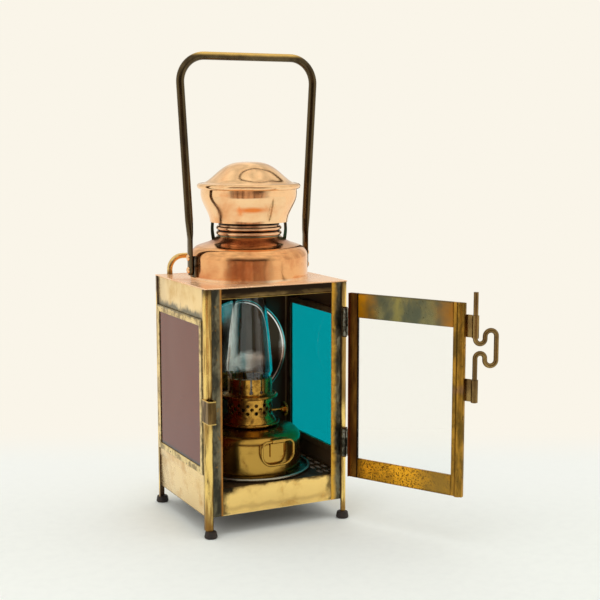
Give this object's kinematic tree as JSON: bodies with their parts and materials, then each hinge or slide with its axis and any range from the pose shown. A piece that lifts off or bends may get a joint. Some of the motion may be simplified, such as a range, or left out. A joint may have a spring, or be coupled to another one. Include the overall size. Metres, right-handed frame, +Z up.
{
  "type": "railroad lantern",
  "caption": "Square brass hand lantern with red and blue side panes, copper vent cap, riveted handle, hinged glass door with drop bolt, and an oil lamp inside.",
  "frame": {"origin": "on the ground under the middle of the body, between the four feet", "axes": "+Z up along the chimney and cap, -Y out of the door side, -X towards the red pane"},
  "size_m": [0.1791, 0.2111, 0.3496],
  "materials": {
    "brass": "polished, patina in the seams",
    "old_brass": "aged, pitted",
    "copper": "polished copper",
    "dark_bronze": "dark patina, worn bright on top",
    "solder": "grey soldered sheet",
    "rubber": "matt",
    "red_glass": "coloured glass",
    "blue_glass": "coloured glass",
    "clear_glass": "clear glass",
    "silvered": "silvered dish",
    "cotton": "woven cotton"
  },
  "bodies": {
    "lantern": {"front_left_post": "brass", "front_right_post": "brass", "back_left_post": "brass", "back_right_post": "brass", "front_sill": "brass", "left_skirt": "brass", "right_skirt": "brass", "left_header": "brass", "right_header": "brass", "back_panel": "brass", "left_glass_frame": "brass", "right_glass_frame": "brass", "rear_loop": "brass", "latch_keeper": "brass", "fuel_tank": "brass", "burner_collar": "brass", "burner_basket": "brass", "gallery": "brass", "left_door_stop": "old_brass", "right_door_stop": "old_brass", "front_lintel": "old_brass", "floor_plate": "old_brass", "hinge_pins": "old_brass", "lamp_tray": "old_brass", "wick_tube": "old_brass", "ring_keeper": "old_brass", "reflector_bracket": "old_brass", "roof_plate": "copper", "dome": "copper", "vent_neck": "copper", "cap_bowl": "copper", "cap_lid": "copper", "handle_rivets": "copper", "handle": "dark_bronze", "cap_straps": "solder", "handle_lugs": "solder", "post_hinge_leaves": "solder", "rubber_feet": "rubber", "red_glass": "red_glass", "blue_glass": "blue_glass", "chimney": "clear_glass", "reflector": "silvered"},
    "door": {"door_top_rail": "old_brass", "door_bottom_rail": "old_brass", "door_hinge_stile": "old_brass", "door_free_stile": "old_brass", "door_glass": "clear_glass", "door_hinge_leaves": "solder", "latch_barrels": "old_brass"},
    "latch": {"latch_bolt": "old_brass"},
    "pull_ring": {"tank_ring": "brass"},
    "wick_drive": {"wick_spindle": "old_brass", "wick_knob": "old_brass"},
    "wick": {"wick": "cotton"}
  },
  "joints": [
    {"name": "door_hinge", "type": "hinge", "parent": "lantern", "child": "door", "pos_m": [0.0532, -0.0542, 0.1057], "axis": [0, 0, 1], "range_deg": [-118, 62]},
    {"name": "latch_slide", "type": "slide", "parent": "door", "child": "latch", "axis": [0, 0, 1], "range_m": [-0.0145, 0]},
    {"name": "ring_swing", "type": "hinge", "parent": "lantern", "child": "pull_ring", "pos_m": [0.00431, -0.04097, 0.0632], "axis": [-0.9945, -0.1045, 0], "range_deg": [0, 25]},
    {"name": "wick_turn", "type": "hinge", "parent": "lantern", "child": "wick_drive", "pos_m": [0.01, -0.0056, 0.0786], "axis": [1, 0, 0], "range_deg": [-90, 90]},
    {"name": "wick_raise", "type": "slide", "parent": "lantern", "child": "wick", "axis": [0, 0, 1], "range_m": [-0.0065, 0.0065]}
  ],
  "couplings": [
    {"joint": "wick_turn", "follows": "wick_raise", "rad_per_m": 238.1}
  ]
}
